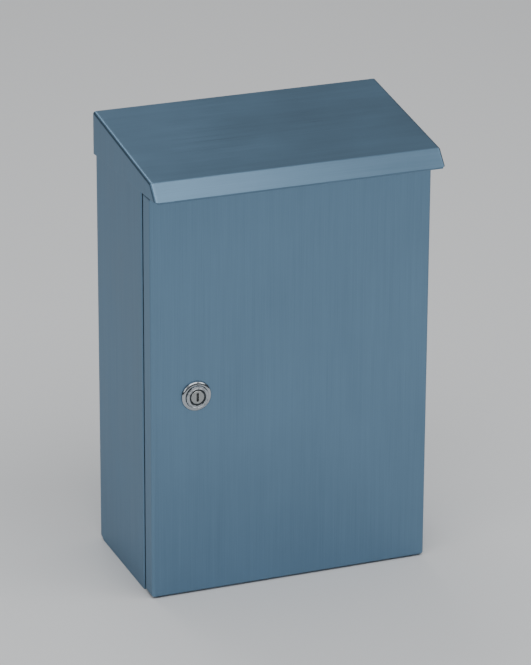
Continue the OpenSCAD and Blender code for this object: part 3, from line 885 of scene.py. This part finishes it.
class MAILBOX_OT_lock_trim(bpy.types.Operator):
    """Turns the domed trim ring round the lock"""

    bl_idname = "mailbox.lock_trim"
    bl_label = "Lock trim ring"

    def execute(self, context):
        sizes, finish = settings(context)
        outer = (ROSETTE_HIGH[0] - ROSETTE_LOW[0]) / 2
        high = ROSETTE_HIGH[1] - ROSETTE_LOW[1]
        bore = (HEAD_HIGH[0] - HEAD_LOW[0]) / 2 + 0.05 * MM
        crest, foot = bore + 0.5 * MM, 0.5 * MM
        # A quarter ellipse from the crest down to the foot
        turn = np.linspace(0, math.pi / 2, 10)
        radius = crest + (outer - crest) * np.sin(turn)
        dome = np.stack([radius, foot + (high - foot) * np.cos(turn)], -1)
        profile = np.concatenate([[(bore, 0), (bore, high - 0.35 * MM)], dome, [(outer, 0)]])
        piece = solid("lock_trim_ring", turned(profile, sizes.turns), 0.12 * MM, 2, 30)
        place(piece, "door", "chrome", chrome_plate(finish), "lock_rosette")
        return {"FINISHED"}


class MAILBOX_OT_lock_body(bpy.types.Operator):
    """Turns the lock's head and cuts its threaded, two-flat barrel"""

    bl_idname = "mailbox.lock_body"
    bl_label = "Lock body"

    def execute(self, context):
        sizes, finish = settings(context)
        head = (HEAD_HIGH[0] - HEAD_LOW[0]) / 2
        high = DOOR_Y - HEAD_LOW[1]
        bore = (PLUG_HIGH[0] - PLUG_LOW[0]) / 2 + 0.06 * MM
        floor = high - 1.3 * MM
        sunk = high - 0.3 * MM
        # Two small beads, round the recess and round the rim, with a sunk flat between them
        bead = 0.42 * MM
        rim = half_bead(head - bead, high, bead)
        collar = half_bead(bore + 1.75 * MM, high, bead)
        rear, groove = -1 * MM, floor - 0.35 * MM
        recess = [
            (bore, rear), (bore, floor), (bore + 0.4 * MM, floor), (bore + 0.45 * MM, groove),
            (bore + 1.1 * MM, groove), (bore + 1.33 * MM, floor),
        ]
        flat = [(collar[-2, 0] + 0.05 * MM, sunk), (rim[1, 0] - 0.05 * MM, sunk)]
        profile = np.concatenate([recess, collar[:-2], flat, rim[2:], [(head, rear)]])
        piece = solid("lock_head", turned(profile, sizes.turns), 0.1 * MM, 2, 25)
        # The faces down in the recess round the plug get a dark plating: painted shade that stands in for the
        # shadow in the recess.
        ring = np.empty(len(piece.data.polygons) * 3)
        piece.data.polygons.foreach_get("center", ring)
        ring = ring.reshape(-1, 3)
        away = np.hypot(ring[:, 0] - LOCK[0], ring[:, 2] - LOCK[2])
        recess_shade_faces = (away < bore + 1.35 * MM) & (ring[:, 1] > DOOR_Y - floor - 0.15 * MM)
        chrome = chrome_plate(finish)
        # A dark plating that paints the recess's shade onto the faces chosen above.
        recess_shade = material("Painted shade, lock recess", plated, (0.10, 0.115, 0.13), 0.42)
        place(piece, "door", "chrome", [chrome, recess_shade], "lock_body")
        piece.data.polygons.foreach_set("material_index", recess_shade_faces.astype(np.int32))

        # Barrel: the lesser of the thread's radius and the flat's distance at each angle
        start, end = -sizes.sheet, DOOR_Y - HEAD_HIGH[1]
        angle = np.linspace(0, math.tau, 72, endpoint=False)
        out = np.arange(start, end, -sizes.thread_pitch / 8)[:, None]
        phase = (out / sizes.thread_pitch + angle / math.tau) % 1
        thread = BARREL_R - THREAD_DEPTH * np.abs(2 * phase - 1)
        radius = np.minimum(thread, BARREL_FLAT / np.maximum(np.abs(np.cos(angle)), 1e-6))
        wall = ringed(radius, out, angle)
        cap = ringed(np.stack([radius[-1], np.full_like(angle, bore)]), out[-1, 0], angle)
        barrel = solid("lock_barrel", joined([wall, cap]))
        coat = material("Plated barrel", plated, (0.50, 0.50, 0.47), 0.28)
        place(barrel, "door", "chrome", coat)
        return {"FINISHED"}


class MAILBOX_OT_lock_plug(bpy.types.Operator):
    """Makes the turning plug with its key slot, shutter and square drive"""

    bl_idname = "mailbox.lock_plug"
    bl_label = "Lock plug"

    def execute(self, context):
        sizes = context.scene.mailbox_sizes
        radius = (PLUG_HIGH[0] - PLUG_LOW[0]) / 2
        face = DOOR_Y - PLUG_LOW[1]
        rear = DOOR_Y - HEAD_HIGH[1]
        drive_end = DOOR_Y - PLUG_HIGH[1]
        wide, tall = sizes.key_wide / 2, sizes.key_high / 2
        lead = 0.2 * MM
        corners = [math.atan2(tall, wide), math.atan2(tall + lead, wide + lead), math.pi / 4]
        angle = np.unique(np.concatenate(
            [np.linspace(-math.pi, math.pi, 96, endpoint=False)]
            + [[c, -c, math.pi - c, c - math.pi] for c in corners]
        ))

        def oblong(half_wide, half_tall):
            """Distance from the axis to a rectangle's edge at each angle."""
            across, up = np.abs(np.cos(angle)), np.abs(np.sin(angle))
            return np.minimum(half_wide / np.maximum(across, 1e-6), half_tall / np.maximum(up, 1e-6))

        slot, mouth = oblong(wide, tall), oblong(wide + lead, tall + lead)
        drive_half = 3 * MM
        drive = oblong(drive_half, drive_half)
        one = np.ones_like(angle)
        chamfer = 0.35 * MM
        rim = (radius - chamfer) * one
        slot_floor = face - 3.4 * MM
        screw_hole, screw_floor = 1.8 * MM, drive_end + 3 * MM
        # From the slot's floor up its wall, over the face, down the side and out along the drive
        rings = [
            (0 * one, slot_floor), (slot, slot_floor), (slot, face - 0.25 * MM), (mouth, face),
            (mouth + 0.3 * (rim - mouth), face), (rim, face), (radius * one, face - chamfer),
            (radius * one, 0), (radius * one, rear), (drive, rear), (drive, drive_end),
            (screw_hole * one, drive_end), (screw_hole * one, screw_floor), (0 * one, screw_floor),
        ]
        rho = np.stack([ring for ring, _ in rings])
        out = np.array([[level] for _, level in rings])
        piece = solid("lock_plug_face", ringed(rho, out, angle), 0.05 * MM, 2, 30)
        nickel = material("Nickel, plug", plated, (0.36, 0.375, 0.38), 0.24)
        place(piece, "lock_cylinder", "plug_nickel", nickel, "lock_plug")

        # Shutter: a shallow trough across the slot, deeper in its middle
        u, v = np.meshgrid(np.linspace(-wide, wide, 7), np.linspace(-tall, tall, 9), indexing="ij")
        sag = 0.5 * MM * (1 - (u / wide) ** 2)
        points = facing_out(u, v, face - 1.9 * MM - sag)
        shutter = new_piece("key_shutter", points.reshape(-1, 3), grid_quads(*u.shape)[:, ::-1])
        weld(shutter)
        leaf = shutter.modifiers.new("Leaf", "SOLIDIFY")
        leaf.thickness = 0.3 * MM
        dark = material("Dark shutter", plated, (0.09, 0.095, 0.10), 0.35)
        place(shutter, "lock_cylinder", "plug_nickel", dark)
        return {"FINISHED"}


class MAILBOX_OT_lock_nut(bpy.types.Operator):
    """Makes the hexagon nut behind the door, with its corners turned off"""

    bl_idname = "mailbox.lock_nut"
    bl_label = "Lock nut"

    def execute(self, context):
        flat = (NUT_HIGH[2] - NUT_LOW[2]) / 2
        front, back = DOOR_Y - NUT_LOW[1], DOOR_Y - NUT_HIGH[1]
        corner = flat / math.cos(math.pi / 6)
        angle = np.linspace(0, math.tau, 96, endpoint=False)
        # Flats face up and down: the distance to the nearest flat, seen from the axis
        near = (angle + math.pi / 6 - math.pi / 2) % (math.pi / 3) - math.pi / 6
        hexagon = flat / np.cos(near)
        chamfer, tip = 0.55 * MM, corner - 1.5 * MM
        bore = 8.75 * MM * np.ones_like(angle)
        levels = [front, front, front - chamfer, back + chamfer, back, back]
        rings = [bore, np.minimum(hexagon, tip), hexagon, hexagon, np.minimum(hexagon, tip), bore]
        rho, out = np.stack(rings + rings[:1]), np.array(levels + levels[:1])[:, None]
        piece = solid("lock_hex_nut", ringed(rho, out, angle), 0.12 * MM, 2, 25)
        place(piece, "door", "zinc", zinc_plate(), "lock_nut")
        return {"FINISHED"}


# -------------------------------------------------------------- small pieces

WELDED = (
    "floor_pan", "top_rail", "lower_bracket", "upper_bracket",
    "hinge_leaf_fixed", "hinge_leaf_moving",
)
ZINCED = (
    "strike_plate", "lower_pivot_pin", "upper_pivot_pin", "hinge_rivets", "hinge_rod",
    "lock_washer", "lock_cam", "cam_washer", "cam_screw",
)


class MAILBOX_OT_small_pieces(bpy.types.Operator):
    """Finishes the welded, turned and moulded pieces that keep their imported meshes"""

    bl_idname = "mailbox.small_pieces"
    bl_label = "Small pieces"

    def execute(self, context):
        finish = context.scene.mailbox_finish
        rolled = material("Rolled steel", rolled_sheet, tuple(finish.inner_steel))
        rubber = (0.028, 0.029, 0.031)
        nylon = (0.72, 0.72, 0.67)
        coats = {name: rolled for name in WELDED}
        coats |= {name: zinc_plate() for name in ZINCED}
        coats["lock_wafers"] = material("Brass", plated, (0.56, 0.41, 0.17), 0.3)
        coats["roof_buffers"] = material("Rubber", moulded, rubber, 0.62, 3000, 0.02 * MM)
        coats["pivot_washers"] = material("Nylon", moulded, nylon, 0.42, 2200, 0.008 * MM)
        for name, coat in coats.items():
            node = frame["nodes"][name]
            node.data.materials.clear()
            node.data.materials.append(coat)
        return {"FINISHED"}


# --------------------------------------------------------------------- stage


class MAILBOX_OT_studio(bpy.types.Operator):
    """Sets the pale floor, the soft lights and the camera"""

    bl_idname = "mailbox.studio"
    bl_label = "Studio"

    def execute(self, context):
        studio = context.scene.mailbox_studio
        self.floor(tuple(studio.floor))
        self.lights()
        self.sky()
        self.camera(studio)
        return {"FINISHED"}

    @staticmethod
    def floor(colour):
        """A wide flat floor in matt paint."""
        half = 8.0
        low = -0.2 * MM
        corners = [(-half, -half, low), (half, -half, low), (half, half, low), (-half, half, low)]
        mesh = bpy.data.meshes.new("studio_floor")
        mesh.from_pydata(corners, [], [(0, 1, 2, 3)])
        floor = add_object("studio_floor", mesh)
        paint = Finish("Floor paint", 0.0, 0.9, colour)
        cloud = paint.noise(paint.place(), (0.7, 0.7, 0.7), 2.0)
        paint.link(paint.shade(colour, paint.ranged(cloud, 0.985, 1.01)), "Base Color")
        mesh.materials.append(paint.material)

    @staticmethod
    def lights():
        """Soft boxes as (name, place, point it faces, width, height, watts)."""
        boxes = [
            ("front_box", (-0.15, -1.3, 2.4), (0, 0, 0.3), 2.0, 1.6, 23),
            ("right_box", (1.6, -1.2, 1.6), (0, 0, 0.1), 1.1, 1.1, 9),
            ("rear_box", (-0.1, 1.5, 2.7), (0, 0, 0.2), 1.2, 1.0, 14),
            ("left_box", (-1.5, -0.8, 0.9), (0, -0.1, 0.2), 0.8, 0.8, 3.5),
        ]
        for name, spot, target, wide, high, watts in boxes:
            lamp = bpy.data.lights.new(name, "AREA")
            lamp.shape = "RECTANGLE"
            lamp.size, lamp.size_y, lamp.energy = wide, high, watts
            holder = add_object(name, lamp)
            holder.location = spot
            way = Vector(target) - Vector(spot)
            holder.rotation_euler = way.to_track_quat("-Z", "Y").to_euler()
            holder.visible_camera = False

    @staticmethod
    def sky():
        """An even pale surround that is brighter overhead than at the horizon."""
        world = bpy.data.worlds.new("Studio surround")
        world.use_nodes = True
        tree = world.node_tree
        spot = tree.nodes.new("ShaderNodeTexCoord")
        split = tree.nodes.new("ShaderNodeSeparateXYZ")
        ramp = tree.nodes.new("ShaderNodeValToRGB")
        tree.links.new(spot.outputs["Generated"], split.inputs[0])
        tree.links.new(split.outputs["Z"], ramp.inputs[0])
        low, high = ramp.color_ramp.elements
        low.position, low.color = 0.2, (0.09, 0.095, 0.10, 1)
        high.position, high.color = 0.72, (0.58, 0.585, 0.59, 1)
        tree.links.new(ramp.outputs[0], tree.nodes["Background"].inputs["Color"])
        tree.nodes["Background"].inputs["Strength"].default_value = 1.0
        bpy.context.scene.world = world

    @staticmethod
    def camera(studio):
        """A long lens that looks at the aim point from the azimuth, elevation and distance."""
        a, e, roll = studio.azimuth, studio.elevation, studio.roll
        back = Vector((math.sin(a) * math.cos(e), -math.cos(a) * math.cos(e), math.sin(e)))
        right = Vector((math.cos(a), math.sin(a), 0))
        up = back.cross(right)
        lens = bpy.data.cameras.new("camera")
        lens.lens, lens.sensor_width, lens.sensor_fit = studio.lens, 36.0, "AUTO"
        lens.clip_start, lens.clip_end = 0.1, 30.0
        turned_right = right * math.cos(roll) + up * math.sin(roll)
        turned_up = up * math.cos(roll) - right * math.sin(roll)
        axes = Matrix((turned_right, turned_up, back)).transposed()
        holder = add_object("camera", lens)
        stand = Vector(studio.aim) + back * studio.distance
        holder.matrix_world = Matrix.Translation(stand) @ axes.to_4x4()
        bpy.context.scene.camera = holder


class MAILBOX_PT_panel(bpy.types.Panel):
    """Lists the pieces and the settings in the sidebar"""

    bl_idname = "MAILBOX_PT_panel"
    bl_label = "Mailbox"
    bl_space_type = "VIEW_3D"
    bl_region_type = "UI"
    bl_category = "Mailbox"

    def draw(self, context):
        for operator in OPERATORS:
            self.layout.operator(operator.bl_idname)
        for setting in SETTINGS:
            group = getattr(context.scene, setting)
            column = self.layout.box().column()
            for name in group.__annotations__:
                column.prop(group, name)


SETTINGS = {
    "mailbox_sizes": MailboxSizes,
    "mailbox_finish": MailboxFinish,
    "mailbox_studio": MailboxStudio,
}
OPERATORS = [
    MAILBOX_OT_studio, MAILBOX_OT_body, MAILBOX_OT_door, MAILBOX_OT_roof, MAILBOX_OT_lock_trim,
    MAILBOX_OT_lock_body, MAILBOX_OT_lock_plug, MAILBOX_OT_lock_nut, MAILBOX_OT_small_pieces,
]


def register():
    for cls in [*SETTINGS.values(), *OPERATORS, MAILBOX_PT_panel]:
        bpy.utils.register_class(cls)
    for name, group in SETTINGS.items():
        setattr(bpy.types.Scene, name, PointerProperty(type=group))


def unregister():
    for name in SETTINGS:
        delattr(bpy.types.Scene, name)
    for cls in reversed([*SETTINGS.values(), *OPERATORS, MAILBOX_PT_panel]):
        bpy.utils.unregister_class(cls)


def main():
    """Registers the add-on and makes every piece in order."""
    register()
    for operator in OPERATORS:
        group, name = operator.bl_idname.split(".")
        getattr(getattr(bpy.ops, group), name)()


if __name__ == "__main__":
    main()
